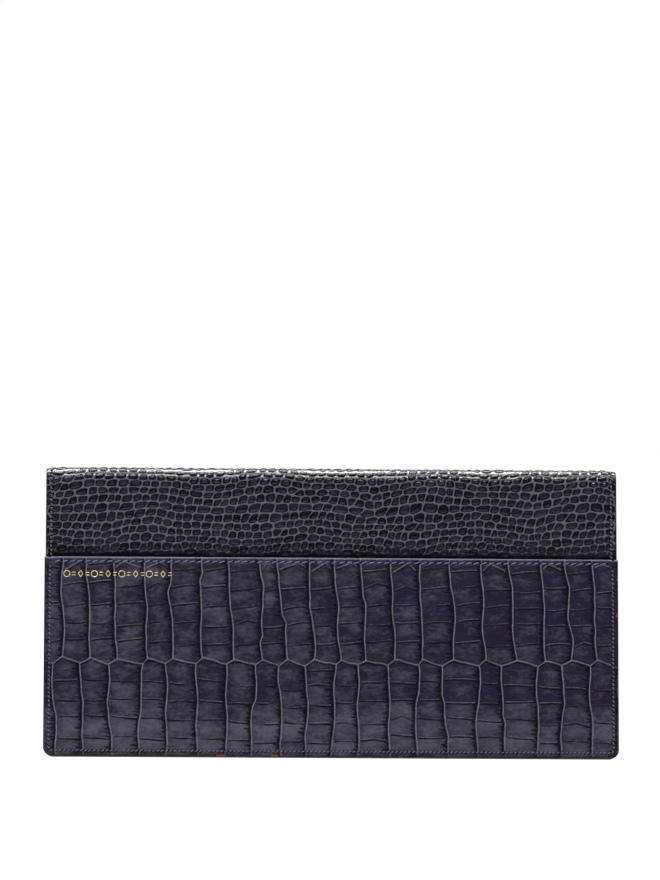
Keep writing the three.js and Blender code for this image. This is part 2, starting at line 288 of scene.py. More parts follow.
    def rungs(self, column, v, u, width):
        """Line, dark and height of the cross folds, the share of the way up a cell, and the cell's number."""
        line, dark, height = (np.zeros_like(v) for _ in range(3))
        to_low, to_high = np.full(v.shape, 9.0), np.full(v.shape, 9.0)
        cell = np.zeros(v.shape, int)
        for k in range(self.rung.shape[1]):
            level = self.rung[column, k] + self.rung_slope[column, k] * (u - 0.5) * width / 11
            level = level + self.rung_curve[column, k] * (1 - (2 * u - 1) ** 2)
            level = level + self.rung_peak[column, k] * (0.5 - np.abs(2 * u - 1))
            above = v - level
            cell += above > 0
            to_low = np.where(above > 0, np.minimum(to_low, above), to_low)
            to_high = np.where(above > 0, to_high, np.minimum(to_high, -above))
            start, stop = self.rung_start[column, k], self.rung_stop[column, k]
            ends = smooth(start, start + 0.12, u) * smooth(stop, stop - 0.12, u)
            margin = np.where(self.crown_fall[column] > 0, 5.0 + 0.6 * self.crown_fall[column], 2.0)
            ends = ends * smooth(2.0, 3.2, level - self.low) * smooth(margin, margin + 1.2, self.high - level)
            depth = self.rung_depth[column, k] * ends
            # Each fold gets a pale line just above it and painted shade just below it.
            line = np.maximum(line, (0.52 + 0.34 * depth) * ends * bump(above - 0.45, 0.36))
            dark = np.maximum(dark, (0.6 + 0.4 * depth) * ends * bump(above + 0.15, 0.36))
            height = height - 0.14 * depth * bump(above + 0.12, 0.5) + 0.04 * depth * bump(above - 0.5, 0.4)
        return line, dark, height, to_low / (to_low + to_high + 1e-6), cell


class BellyScales:
    """Two blocks of columns, one above the other, that meet along a meandering line."""

    def __init__(self, seed, reach, low, divide, high):
        rng = np.random.default_rng(seed)
        count = int(2 * reach / 11) + 4  # columns are about 11 wide
        beads = np.cumsum(rng.uniform(9.7, 12.7, count))
        beads += -reach - 14 - beads[0]
        lower_beads = beads - rng.uniform(1.3, 2.9, count)
        self.upper = Block(rng, beads, divide, high, (1.0, 3.4), (0.2, 1.7), crowned=0.6)
        self.lower = Block(rng, lower_beads, low, divide, (-1.6, 1.8), (-1.0, 0.4))
        self.divide = divide
        peaks = np.stack([lower_beads, beads], 1).ravel()  # the meander bends where the blocks' beads meet it
        lift = np.stack([rng.uniform(-1.6, -0.7, count), rng.uniform(0.6, 1.5, count)], 1).ravel()
        drift = [block.bead_lines(np.array([divide]))[0] - block.beads for block in (self.lower, self.upper)]
        peaks += np.stack(drift, 1).ravel()
        order = np.argsort(peaks)
        self.meander = peaks[order], lift[order]

    def evaluate(self, x, v):
        meander = self.divide + np.interp(x, *self.meander)
        meander = meander + 0.35 * noise(x, 0, 3.4, 1, 17)
        height_v = np.broadcast_to(v[:, None], x.shape)
        above = height_v - meander
        upper, lower = self.upper.evaluate(x, v), self.lower.evaluate(x, v)
        height, line, dark, gloss = (np.where(above > 0, a, b) for a, b in zip(upper, lower))
        near = bump(above, 1.3)
        height = height * (1 - 0.7 * near) - 0.22 * near + 0.26 * bump(above, 0.45)
        # Along the meander: a pale line, and painted shade in bands under it and, fainter, above it.
        line = np.maximum(line, 0.9 * bump(above, 0.45))
        dark = np.maximum(dark * (1 - bump(above, 0.5)), 0.75 * bump(above + 0.85, 0.42))
        dark = np.maximum(dark, 0.35 * bump(above - 0.9, 0.35))
        return height, line, dark, gloss


class FlankScales:
    """Small rounded scales in wavy rows: the cells round one seed each, squeezed and leaning.

    Row heights and scale widths are given from the first row on."""

    LEFT = -130
    SQUEEZE = 0.62
    SOFTNESS = 0.27  # rounds the cells' corners

    def __init__(self, seed, start, heights, widths):
        rng = np.random.default_rng(seed)
        self.bounds = start + np.concatenate([[0], np.cumsum(heights)])
        self.widths = np.array(widths)
        cells = (len(heights), int(-2 * self.LEFT / min(widths)) + 8)
        self.phase = rng.uniform(0, 1, cells[0])
        self.shift_x = rng.uniform(-0.26, 0.26, cells)
        self.shift_v = rng.uniform(-0.11, 0.11, cells)
        self.gloss = rng.random(cells)

    def wave(self, x, t):
        first = 0.95 * np.sin(2 * math.pi * (x + 0.6 * t) / 61.0)
        second = 0.45 * np.sin(2 * math.pi * (x - 0.8 * t) / 34.0 + 1.3)
        return first + second + 0.55 * noise(x, t, 9, 7, 23)

    def evaluate(self, x, t):
        level = t + self.wave(x, t)
        lean_x = x - 0.2 * (t - self.bounds[0]) + 0.8 * noise(x, t, 7, 5, 29)
        row = np.clip(np.searchsorted(self.bounds, level) - 1, 1, len(self.widths) - 2)
        heights = np.diff(self.bounds)
        seeds = []
        for row_offset in (-1, 0, 1):
            r = row + row_offset
            pitch = self.widths[r]
            k = np.floor((lean_x - self.LEFT) / pitch - self.phase[r]).astype(int)
            for k_offset in (-1, 0, 1):
                place = k + k_offset
                own = place % self.shift_x.shape[1]
                seed_x = (place + 0.5 + self.phase[r] + self.shift_x[r, own]) * pitch + self.LEFT
                seed_v = self.bounds[r] + heights[r] * (0.5 + self.shift_v[r, own])
                seeds.append((seed_x, seed_v, self.gloss[r, own]))
        distance = np.stack([np.hypot((lean_x - sx) * self.SQUEEZE, level - sv) for sx, sv, _ in seeds])
        nearest = distance.argmin(0)
        own_x, own_v, gloss = (
            np.take_along_axis(np.stack([seed[k] for seed in seeds]), nearest[None], 0)[0] for k in range(3)
        )
        total = np.zeros_like(level)
        for index, (sx, sv, _) in enumerate(seeds):
            dx, dv = sx - own_x, sv - own_v
            across = dx * self.SQUEEZE**2
            length = np.hypot(across, dv) + 1e-6
            to_border = ((own_x + dx / 2 - lean_x) * across + (own_v + dv / 2 - level) * dv) / length
            total += np.where(index == nearest, 0, np.exp(-np.clip(to_border, -2, 12) / self.SOFTNESS))
        border = -self.SOFTNESS * np.log(total + 1e-12)
        rough = 0.1 * noise(x, t, 0.7, 0.7, 31)
        line = bump(np.maximum(border + rough, 0), 0.31)
        # Painted shade in a ring just inside each scale's border, where its dome falls to the network.
        dark = 0.62 * bump(border - 0.6, 0.24)
        dome = smooth(0.05, 1.3, border) + 0.3 * smooth(0.3, 2.2, border)
        height = 0.24 * dome - 0.03 + 0.09 * bump(border, 0.3)
        return height, line, dark, gloss


# ---- Seams ----


class SeamU:
    """A seam down one side, round the bottom corners and up the other, by its length from its first end."""

    def __init__(self, width, top, inset=SEAM_INSET, corner=CORNER):
        self.half = width / 2 - inset
        self.top, self.low = top, inset
        self.radius = corner - inset
        self.side = top - inset - self.radius
        self.bend = self.radius * math.pi / 2
        self.floor = 2 * (self.half - self.radius)
        self.length = 2 * self.side + 2 * self.bend + self.floor

    def along(self, x, v):
        """Length along the seam of the nearest point on it, and the distance from it."""
        mirror = x > 0
        ax = np.abs(x)
        corner_x, corner_v = self.half - self.radius, self.low + self.radius
        angle = np.arctan2(np.maximum(corner_v - v, 0), np.maximum(ax - corner_x, 1e-9))
        in_corner = (ax > corner_x) & (v < corner_v)
        on_side = (v >= corner_v) & ((self.half - ax) < (v - self.low))
        s = np.where(on_side, self.top - v, self.side + self.bend + (corner_x - ax))
        s = np.where(in_corner, self.side + angle * self.radius, s)
        gap = np.where(on_side, ax - self.half, self.low - v)
        gap = np.where(in_corner, np.hypot(ax - corner_x, corner_v - v) - self.radius, gap)
        return np.where(mirror, self.length - s, s), gap

    def point(self, s):
        s = np.asarray(s, float)
        mirror = s > self.length / 2
        s = np.where(mirror, self.length - s, s)
        angle = np.clip((s - self.side) / self.radius, 0, math.pi / 2)
        x = self.half - self.radius + self.radius * np.cos(angle)
        v = self.low + self.radius - self.radius * np.sin(angle)
        v = v + np.maximum(self.side - s, 0)
        x = x - np.maximum(s - self.side - self.bend, 0)
        return np.where(mirror, x, -x), v


class SeamLine:
    """A straight seam from one point to another, in x and v or t."""

    def __init__(self, start, end):
        self.start, self.end = np.array(start, float), np.array(end, float)
        self.length = float(np.hypot(*(self.end - self.start)))
        self.direction = (self.end - self.start) / self.length

    def along(self, x, v):
        dx, dv = x - self.start[0], v - self.start[1]
        s = dx * self.direction[0] + dv * self.direction[1]
        gap = dv * self.direction[0] - dx * self.direction[1]
        beyond = np.maximum(np.maximum(-s, s - self.length), 0)
        return s, np.hypot(gap, beyond)

    def point(self, s):
        s = np.asarray(s, float)
        return self.start[0] + self.direction[0] * s, self.start[1] + self.direction[1] * s


def pressed(seam, pitch, x, v):
    """How far a seam's channel and holes press a leather in, and how much a hole shows, from 0 to 1."""
    s, gap = seam.along(x, v)
    nearest = np.round(s / pitch) * pitch
    hole = bump(np.hypot(gap, s - nearest), 0.4)
    return 0.2 * bump(gap, 0.5) + 0.24 * hole, hole


# ---- Meshes ----


def new_object(name, vertices, faces, material, smooth_faces=None):
    mesh = bpy.data.meshes.new(name)
    mesh.from_pydata(vertices * MM, [], faces)
    mesh.materials.append(material)
    shade = np.ones(len(faces), bool) if smooth_faces is None else smooth_faces
    mesh.polygons.foreach_set("use_smooth", shade)
    mesh.update()
    thing = bpy.data.objects.new(name, mesh)
    bpy.context.scene.collection.objects.link(thing)
    return thing


def crease(thing, vertices):
    """Makes the edges between these vertices sharp, so that a joined face keeps its shading to the border."""
    mesh = thing.data
    ends = np.zeros(len(mesh.edges) * 2, int)
    mesh.edges.foreach_get("vertices", ends)
    chosen = np.zeros(len(mesh.vertices), bool)
    chosen[vertices] = True
    mesh.edges.foreach_set("use_edge_sharp", chosen[ends].reshape(-1, 2).all(1))


def paint(thing, values):
    """Stores the four pattern values of each vertex where the materials read them."""
    layer = thing.data.attributes.new("emboss", "FLOAT_COLOR", "POINT")
    layer.data.foreach_set("color", values.astype(np.float32).ravel())


def outline(rows, columns):
    """The grid's vertices, its outer ones in order, and the side that each edge between those is on."""
    grid = np.arange(rows * columns).reshape(rows, columns)
    loop = np.concatenate([grid[0, :-1], grid[:-1, -1], grid[-1, :0:-1], grid[:0:-1, 0]])
    sides = np.repeat(["low", "right", "high", "left"], [columns - 1, rows - 1] * 2)
    return grid, loop, sides


def outward(lx, lt, sides, joined, turn):
    """Directions out of the sheet at its outline. At a side that another piece joins there is none."""
    ax, at = np.roll(lx, -1) - np.roll(lx, 1), np.roll(lt, -1) - np.roll(lt, 1)
    length = (np.hypot(ax, at) + 1e-9) * turn
    out_x, out_t = at / length, -ax / length
    joins = np.isin(sides, joined)
    before = np.roll(joins, 1)
    out_x[joins & before], out_t[joins & before] = 0, 0
    corner = joins != before
    upright = np.where(joins, np.roll(sides, 1), sides)
    sideways = corner & np.isin(upright, ["left", "right"])
    out_t[sideways], out_x[sideways] = 0, np.sign(out_x[sideways])
    lengthways = corner & ~sideways
    out_x[lengthways], out_t[lengthways] = 0, np.sign(out_t[lengthways])
    return out_x, out_t, joins, joins & before


# Where the side's rings lie between the face and the lip, and how far they bulge out of the outline.
SIDE_RINGS = [(0.12, 0.08), (0.4, 0.13), (0.8, 0.1), (0.97, 0.0), (1.0, -0.12)]
HIDDEN_INSETS = (1.5, 1.55)  # of the hidden face's rings at the lip and at the back


def sheet_piece(name, x, t, d, marks, back, material, lip=None, joined=()):
    """A closed sheet. Its shown face is the grid x, t, d, and its hidden face lies at the depth back.

    marks are the line, dark, own and edge values of the shown face. lip is the depth that the painted sides
    reach, where that isn't the hidden face's. joined names the sides where the next piece goes on."""
    rows, columns = x.shape
    grid, loop, sides = outline(rows, columns)
    fx, ft, fd = x.ravel(), np.broadcast_to(t, x.shape).ravel(), d.ravel()
    lx, lt, ld = fx[loop], ft[loop], fd[loop]
    turn = 1 if ft[-1] > ft[0] else -1
    out_x, out_t, joins, inner = outward(lx, lt, sides, joined, turn)
    lip = np.broadcast_to(back if lip is None else lip, x.shape).ravel()[loop]
    lip = np.where(inner, back, lip)
    parts = [(fx, ft, fd)]
    for share, out in SIDE_RINGS:
        parts.append((lx + out * out_x, lt + out * out_t, ld + (lip - ld) * share))
    for inset, depth in zip(HIDDEN_INSETS, (lip, np.full(len(loop), float(back)))):
        parts.append((lx - inset * out_x, lt - inset * out_t, depth))
    px, pt, pd = (np.concatenate([p[i] for p in parts]) for i in range(3))
    quads = np.stack([grid[:-1, :-1], grid[:-1, 1:], grid[1:, 1:], grid[1:, :-1]], -1).reshape(-1, 4)
    faces, smooth_faces = [quads], [np.ones(len(quads), bool)]
    previous = loop
    for index in range(len(SIDE_RINGS) + len(HIDDEN_INSETS)):
        ring = rows * columns + index * len(loop) + np.arange(len(loop))
        faces.append(np.stack([previous, ring, np.roll(ring, -1), np.roll(previous, -1)], -1))
        smooth_faces.append(~joins if index < len(SIDE_RINGS) else np.zeros(len(loop), bool))
        previous = ring
    place = np.zeros(rows * columns, int)
    place[loop] = previous
    left, right = place[grid[:, 0]].tolist(), place[grid[:, -1]].tolist()
    closing = [[left[i], left[i + 1], right[i + 1], right[i]] for i in range(1, rows - 2)]
    closing.append(place[grid[0]].tolist()[::-1] + [left[1], right[1]])
    closing.append(place[grid[-1]].tolist() + [right[-2], left[-2]])
    all_faces = np.concatenate(faces).tolist() + closing
    smooth_faces = np.concatenate(smooth_faces + [np.zeros(len(closing), bool)])
    if (back > d.mean()) != (turn < 0):
        all_faces = [f[::-1] for f in all_faces]
    thing = new_object(name, fold(px, pt, pd), all_faces, material, smooth_faces)
    crease(thing, loop[joins | np.roll(joins, 1)])
    values = np.zeros((len(px), 4))
    for channel, mark in enumerate(marks):
        values[: rows * columns, channel] = np.broadcast_to(mark, x.shape).ravel()
    values[rows * columns:, 3] = 1
    paint(thing, values)
    return thing


def stitches(name, runs, material):
    """One piece for the stitches of several seams.

    A run is (seam, pitch, place, level, side, slant): place turns x and v into x and t, level gives the depth
    of the leather there, side is -1 on an inner face, and slant is how far a stitch leans across the seam."""
    sides, rings = 6, 7
    vertices, faces = [], []
    for seam, pitch, place, level, side, slant in runs:
        count = int(seam.length / pitch)
        share = np.linspace(0, 1, rings)
        s = np.arange(count)[:, None] * pitch + pitch * (0.04 + 0.92 * share)
        x, v = seam.point(s)
        x_ahead, v_ahead = seam.point(s + 0.05)
        dx, dv = x_ahead - x, v_ahead - v
        length = np.hypot(dx, dv) + 1e-9
        dx, dv = dx / length, dv / length
        sway = slant * (share - 0.5)
        arch = np.sin(math.pi * share)
        middle_x, middle_v = x - dv * sway, v + dx * sway
        rise = 0.54 if side > 0 else 0.4  # low on the inner faces, which nearly meet in the closed wallet
        depth = level(x, v) + side * (rise * arch**0.55 - 0.34)
        thick = 0.15 + 0.13 * arch
        turn = np.linspace(0, 2 * math.pi, sides, endpoint=False)
        across, lift = thick[:, None] * np.cos(turn), thick[:, None] * np.sin(turn)
        ring_x = middle_x[..., None] - dv[..., None] * across
        ring_v = middle_v[..., None] + dx[..., None] * across
        ring_d = depth[..., None] + side * lift
        px, pt = place(ring_x, ring_v)
        base = sum(len(v) for v in vertices)
        vertices.append(fold(px, pt, ring_d).reshape(-1, 3))
        index = base + np.arange(count * rings * sides).reshape(count, rings, sides)
        a, b = index[:, :-1], index[:, 1:]
        quads = np.stack([a, np.roll(a, -1, 2), np.roll(b, -1, 2), b], -1).reshape(-1, 4)
        faces += quads.tolist() + index[:, 0, ::-1].tolist() + index[:, -1].tolist()
    return new_object(name, np.concatenate(vertices), faces, material)


# ---- Materials ----


class Nodes:
    """Short calls for building one material's node tree."""

    def __init__(self, name):
        self.material = bpy.data.materials.new(name)
        self.material.use_nodes = True
        self.tree = self.material.node_tree
        self.shader = self.tree.nodes["Principled BSDF"]
        self.coordinates = self.add("TexCoord").outputs["Object"]

    def add(self, kind, **settings):
        node = self.tree.nodes.new(f"ShaderNode{kind}")
        for key, value in settings.items():
            setattr(node, key, value)
        return node

    def link(self, source, target):
        if isinstance(source, bpy.types.NodeSocket):
            self.tree.links.new(source, target)
        else:
            target.default_value = source

    def placed(self, texture, size_mm, stretch=(1, 1, 1)):
        mapping = self.add("Mapping")
        mapping.inputs["Scale"].default_value = [s / (size_mm * MM) for s in stretch]
        self.link(self.coordinates, mapping.inputs["Vector"])
        self.link(mapping.outputs["Vector"], texture.inputs["Vector"])
        texture.inputs["Scale"].default_value = 1.0
        return texture

    def noise(self, size_mm, detail=3.0, roughness=0.5, stretch=(1, 1, 1)):
        texture = self.placed(self.add("TexNoise"), size_mm, stretch)
        texture.inputs["Detail"].default_value = detail
        texture.inputs["Roughness"].default_value = roughness
        return texture.outputs["Fac"]

    def pebbles(self, size_mm):
        texture = self.add("TexVoronoi", feature="SMOOTH_F1")
        return self.placed(texture, size_mm).outputs["Distance"]

    def remap(self, value, low, high, to_low=0.0, to_high=1.0):
        node = self.add("MapRange")
        self.link(value, node.inputs["Value"])
        for key, number in (("From Min", low), ("From Max", high), ("To Min", to_low), ("To Max", to_high)):
            node.inputs[key].default_value = number
        return node.outputs["Result"]

    def math(self, operation, a, b=0.0, clamp=False):
        node = self.add("Math", operation=operation, use_clamp=clamp)
        self.link(a, node.inputs[0])
        self.link(b, node.inputs[1])
        return node.outputs[0]

    def mix(self, factor, a, b):
        node = self.add("Mix", data_type="RGBA")
        self.link(factor, node.inputs["Factor"])
        for value, socket in ((a, node.inputs[6]), (b, node.inputs[7])):
            self.link((*value, 1.0) if isinstance(value, tuple) else value, socket)
        return node.outputs[2]

    def bump(self, height, distance_mm, strength=1.0, normal=None):
        node = self.add("Bump")
        node.inputs["Strength"].default_value = strength
        node.inputs["Distance"].default_value = distance_mm * MM
        self.link(height, node.inputs["Height"])
        if normal is not None:
            self.link(normal, node.inputs["Normal"])
        return node.outputs["Normal"]

    def set(self, **values):
        """Sets or links the shader's inputs. Their names have _ in place of spaces."""
        for key, value in values.items():
            self.link(value, self.shader.inputs[key.replace("_", " ")])


# Colours are linear red, green and blue.
PAINT_BLACK = (0.011, 0.010, 0.013)
RAW_BROWN = (0.105, 0.04, 0.017)


def embossed_leather(name, face, face_deep, line, valley, roughness, gloss, gloss_roughness, line_gloss):
    """Dyed calf with pressed scales: pale lines, dark valleys, cloudy faces, fine grain and painted edges.
    The dark valleys are painted shade over dye that pools there, and the cloudy tone is partly the
    leather's own mottle and partly a painted sheen.
    """
    n = Nodes(name)
    emboss = n.add("Attribute", attribute_name="emboss")
    parts = n.add("SeparateColor")
    n.link(emboss.outputs["Color"], parts.inputs["Color"])
    lines, darks, own = parts.outputs["Red"], parts.outputs["Green"], parts.outputs["Blue"]
    edge_mask = emboss.outputs["Alpha"]
    cloud = n.noise(6.5, 4.0, 0.55, (0.8, 1, 1.4))
    streak = n.noise(2.2, 3.0, 0.6, (0.35, 1, 1.6))
    grain = n.noise(0.42, 2.0, 0.6)
    pores = n.pebbles(0.55)
    wrinkle = n.noise(0.9, 3.0, 0.65, (0.5, 1, 0.8))
    teeth = n.noise(1.0, 2.0, 0.5, (0.2, 1, 1))
    ragged = n.math("ADD", lines, n.remap(wrinkle, 0.2, 0.8, -0.09, 0.09))
    line_mask = n.remap(ragged, 0.56, 0.82)
    toothed = n.math("ADD", darks, n.remap(teeth, 0.3, 0.7, -0.3, 0.3))
    dark_mask = n.math("MULTIPLY", n.remap(toothed, 0.34, 0.66), n.remap(darks, 0.02, 0.2))
    dark_mask = n.math("MAXIMUM", dark_mask, n.remap(darks, 0.45, 0.8))
    # The cloud in the tone is partly the leather's own mottle and partly a painted sheen, as the base reflects
    # little.
    tone = n.math("ADD", n.remap(cloud, 0.3, 0.7, -0.26, 0.34), n.math("MULTIPLY", own, 0.85))
    tone = n.math("ADD", tone, n.remap(streak, 0.35, 0.7, -0.14, 0.14))
    tone = n.math("ADD", tone, n.remap(wrinkle, 0.3, 0.7, -0.27, 0.27), clamp=True)
    colour = n.mix(tone, face_deep, face)
    # Painted shade: the valley colour where the dark marks are.
    colour = n.mix(n.math("MULTIPLY", dark_mask, n.remap(grain, 0.2, 0.8, 0.85, 1.0)), colour, valley)
    worn_line = n.math("MULTIPLY", line_mask, n.remap(streak, 0.25, 0.75, 0.62, 1.14))
    colour = n.mix(worn_line, colour, line)
    spots = n.noise(7.5, 2.0, 0.7)
    raw = n.math("MULTIPLY", edge_mask, n.remap(spots, 0.66, 0.69))
    raw = n.math("MAXIMUM", raw, n.remap(edge_mask, 1.3, 1.8))
    colour = n.mix(edge_mask, colour, PAINT_BLACK)
    colour = n.mix(raw, colour, RAW_BROWN)
    rough = n.remap(cloud, 0.3, 0.7, roughness - 0.05, roughness + 0.07)
    rough = n.math("ADD", rough, n.math("MULTIPLY", own, 0.08))
    glaze = n.remap(line_mask, 0.0, 1.0, 1.0, line_gloss)
    # No coat where the painted shade is, so that no reflection lights it.
    glaze = n.math("MULTIPLY", n.remap(dark_mask, 0.0, 0.8, gloss, 0.0), glaze)
    glaze = n.math("MULTIPLY", glaze, n.remap(cloud, 0.3, 0.7, 1.1, 0.7))
    normal = n.bump(pores, 0.05, 0.35)
    normal = n.bump(grain, 0.035, 0.5, normal)
    normal = n.bump(wrinkle, 0.12, 0.55, normal)
    n.set(Base_Color=colour, Roughness=rough, Normal=normal, Specular_IOR_Level=0.08)
    n.set(Coat_Weight=glaze, Coat_Roughness=gloss_roughness)
    return n.material


def smooth_leather(name, face, face_deep, roughness):
    """Fine-grained lining leather."""
    n = Nodes(name)
    emboss = n.add("Attribute", attribute_name="emboss")
    cloud = n.noise(14, 4.0, 0.6)
    grain = n.pebbles(0.9)
    fine = n.noise(0.3, 3.0, 0.6)
    colour = n.mix(n.remap(cloud, 0.3, 0.7), face_deep, face)
    colour = n.mix(n.remap(grain, 0.0, 0.35, 0.35, 0.0), colour, tuple(0.45 * c for c in face_deep))
    colour = n.mix(emboss.outputs["Alpha"], colour, PAINT_BLACK)
    normal = n.bump(grain, 0.12, 0.45)
    normal = n.bump(fine, 0.05, 0.4, normal)
    rough = n.remap(cloud, 0.3, 0.7, roughness - 0.05, roughness + 0.08)
    n.set(Base_Color=colour, Roughness=rough, Normal=normal, Specular_IOR_Level=0.42)
    return n.material


def thread_material(name, pale, deep):
    """Waxed, twisted sewing thread."""
    n = Nodes(name)
    twist = n.noise(0.28, 2.0, 0.5, (1, 1.6, 1.6))
    fray = n.noise(3.0, 2.0, 0.5)
    lit = n.math("MULTIPLY", n.remap(twist, 0.3, 0.7), n.remap(fray, 0.3, 0.7, 0.7, 1.0))
    n.set(Base_Color=n.mix(lit, deep, pale), Roughness=n.remap(twist, 0.3, 0.7, 0.45, 0.7))
    n.set(Normal=n.bump(twist, 0.06, 0.6))
    n.set(Specular_IOR_Level=0.4, Sheen_Weight=0.3, Sheen_Roughness=0.4)
    return n.material


def foil_material(name):
    """Hot-stamped gold foil, slightly broken by the grain below it."""
    n = Nodes(name)
    wear = n.noise(0.8, 3.0, 0.6)
    broad = n.noise(9.0, 2.0, 0.5)
    colour = n.mix(n.remap(broad, 0.3, 0.7), (0.72, 0.53, 0.22), (0.82, 0.65, 0.33))
    colour = n.mix(n.remap(wear, 0.66, 0.74), colour, (0.20, 0.13, 0.05))
    n.set(Base_Color=colour, Metallic=0.6, Roughness=n.remap(wear, 0.3, 0.7, 0.35, 0.55))
    n.set(Normal=n.bump(wear, 0.03, 0.5))
    return n.material


def board_material(name):
    """Grey fibre board with flecks."""
    n = Nodes(name)
    fleck = n.noise(0.7, 4.0, 0.7, (0.5, 1, 1))
    colour = n.mix(n.remap(fleck, 0.35, 0.65), (0.16, 0.14, 0.12), (0.30, 0.27, 0.23))
    n.set(Base_Color=colour, Roughness=0.85, Normal=n.bump(fleck, 0.06, 0.5))
    return n.material


def floor_material(name):
    """A white table lit from below and above."""
    n = Nodes(name)
    mottle = n.noise(90)
    colour = n.mix(n.remap(mottle, 0.3, 0.7), (0.09, 0.09, 0.091), (0.085, 0.085, 0.086))
    n.set(Base_Color=colour, Roughness=0.8, Specular_IOR_Level=0.1)
    n.set(Emission_Color=(1, 1, 1, 1), Emission_Strength=1.0)
    return n.material


# In the leathers below, valley is the colour of the painted shade, over the dye that pools in the valleys.
POCKET_LEATHER = embossed_leather(
    "pocket_leather",
    face=(0.050, 0.046, 0.067),
    face_deep=(0.0085, 0.0066, 0.0165),
    line=(0.098, 0.096, 0.121),
    valley=(0.0024, 0.0021, 0.0036),
    roughness=0.42,
    gloss=0.22,
    gloss_roughness=0.3,
    line_gloss=0.3,
)
BODY_LEATHER = embossed_leather(
    "body_leather",
    face=(0.0095, 0.0078, 0.0155),
    face_deep=(0.0016, 0.0013, 0.0034),
    line=(0.066, 0.066, 0.084),
    valley=(0.0006, 0.0006, 0.0008),
    roughness=0.35,
    gloss=0.7,
    gloss_roughness=0.16,
    line_gloss=1.25,
)
LINING_LEATHER = smooth_leather("lining_leather", (0.040, 0.037, 0.070), (0.026, 0.023, 0.050), 0.52)
INNER_LEATHER = smooth_leather("inner_leather", (0.050, 0.046, 0.085), (0.032, 0.029, 0.058), 0.46)
THREAD = thread_material("thread", (0.11, 0.095, 0.18), (0.03, 0.025, 0.06))
MOUTH_THREAD = thread_material("mouth_thread", (0.135, 0.11, 0.27), (0.06, 0.047, 0.14))
FOIL = foil_material("gold_foil")
BOARD = board_material("stiffener_board")
FLOOR = floor_material("pale_floor")

# ---- Outer pocket ----


def attach(piece, body, slot, *nodes):
    """Draws a piece in place of these CAD nodes.

    body is a body's name, which the piece is attached to, or two bodies' names and two t, for a half of the
    spine; such a piece is attached to no body and does not bend, and only its place is baked into its mesh."""
    if isinstance(body, str):
        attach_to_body(piece, body)
    else:
        first, second, start, end = body
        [tuple(fold(0, t, 0) * MM) for t in (start, end)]
        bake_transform(piece)
    if nodes:
        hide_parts(*nodes)
    return piece


ON_BACK, ON_FRONT = "back_panel", "front_cover"
# Each of the spine's pieces is two halves, each listed with the two bodies it lies between and the t at its
# ends.
SPINE_HALVES = (
    ("back", (ON_BACK, "spine", HEIGHT, MIDDLE)),
    ("front", ("spine", ON_FRONT, MIDDLE, FRONT_START)),
)


def seam_line(node, lengthways=False):
    """The line of a straight CAD seam, in x and t."""
    (x_low, x_high), (t_low, t_high), _ = reach(node)
    if lengthways:
        return SeamLine(((x_low + x_high) / 2, t_low), ((x_low + x_high) / 2, t_high))
    return SeamLine((x_low, (t_low + t_high) / 2), (x_high, (t_low + t_high) / 2))


def rounded_columns(v, width, step):
    share = steps(width, step) / width * 2 - 1
    return share[None, :] * half_width(v, width)[:, None]


class Grid:
    """A face as rows of height v across columns that share out its width."""

    def __init__(self, x, v, d, marks):
        self.x, self.v, self.d, self.marks = x, v, d, marks

    def depth(self, x, v):
        """The face's depth at any points on it."""
        x, v = np.broadcast_arrays(x, v)
        row = np.clip(np.searchsorted(self.v, v) - 1, 0, len(self.v) - 2)
        share_v = np.clip((v - self.v[row]) / (self.v[row + 1] - self.v[row]), 0, 1)
        middle = self.x[self.x.shape[0] // 2]
        column = np.clip(np.searchsorted(middle, x) - 1, 0, len(middle) - 2)
        share_x = np.clip((x - middle[column]) / (middle[column + 1] - middle[column]), 0, 1)
        low = self.d[row, column] * (1 - share_x) + self.d[row, column + 1] * share_x
        high = self.d[row + 1, column] * (1 - share_x) + self.d[row + 1, column + 1] * share_x
        return low * (1 - share_v) + high * share_v

    def halves(self):
        """The face cut in two at a column near the middle, which both halves keep."""
        column = self.x.shape[1] // 2
        for part, side in ((slice(0, column + 1), "right"), (slice(column, None), "left")):
            marks = tuple(np.asarray(mark)[:, part] for mark in self.marks)
            yield Grid(self.x[:, part], self.v, self.d[:, part], marks), side


def grid_piece(name, grid, back, material, lip, joined, t=None):
    """The sheet whose shown face is a grid. t says where its rows lie, where that isn't at their heights."""
    t = grid.v if t is None else t
    return sheet_piece(name, grid.x, t[:, None], grid.d, grid.marks, back, material, lip, joined)


POCKET_SEAM = SeamU(POCKET_WIDTH, POCKET_MOUTH - 3.2)
MOUTH_SEAM = seam_line("boarding_pocket_mouth_seam")
POCKET_SCALES = BellyScales(7, 118, -1, 0.475 * POCKET_MOUTH, POCKET_MOUTH + 1)


def pocket_level(x, v):
    """The outer pocket's face without its scales: thinner at the sewn edges, slightly proud at the mouth."""
    edge = edge_distance(x, v, POCKET_WIDTH)
    thin = -0.55 * (1 - smooth(0.0, 7.0, edge))
    gape = 0.3 * bump(v - POCKET_MOUTH, 16) * (1 - (2 * x / POCKET_WIDTH) ** 2)
    wave = 0.14 * noise(x, v, 42, 30, 3)
    return POCKET_FACE - 0.1 + thin + gape + wave


# Where the edge paint is rubbed off: a share of the leather's width, one of the pocket's height, and a size.
WORN_SPOTS = [(-0.5, 1.028, 1.7), (0.5, 0.72, 1.2), (-0.19, 0.0, 2.2), (-0.1, 0.0, 1.8), (0.5, 0.9, 0.8)]


def edge_paint(edge):
    return 1 - smooth(0.05, 0.4, edge)


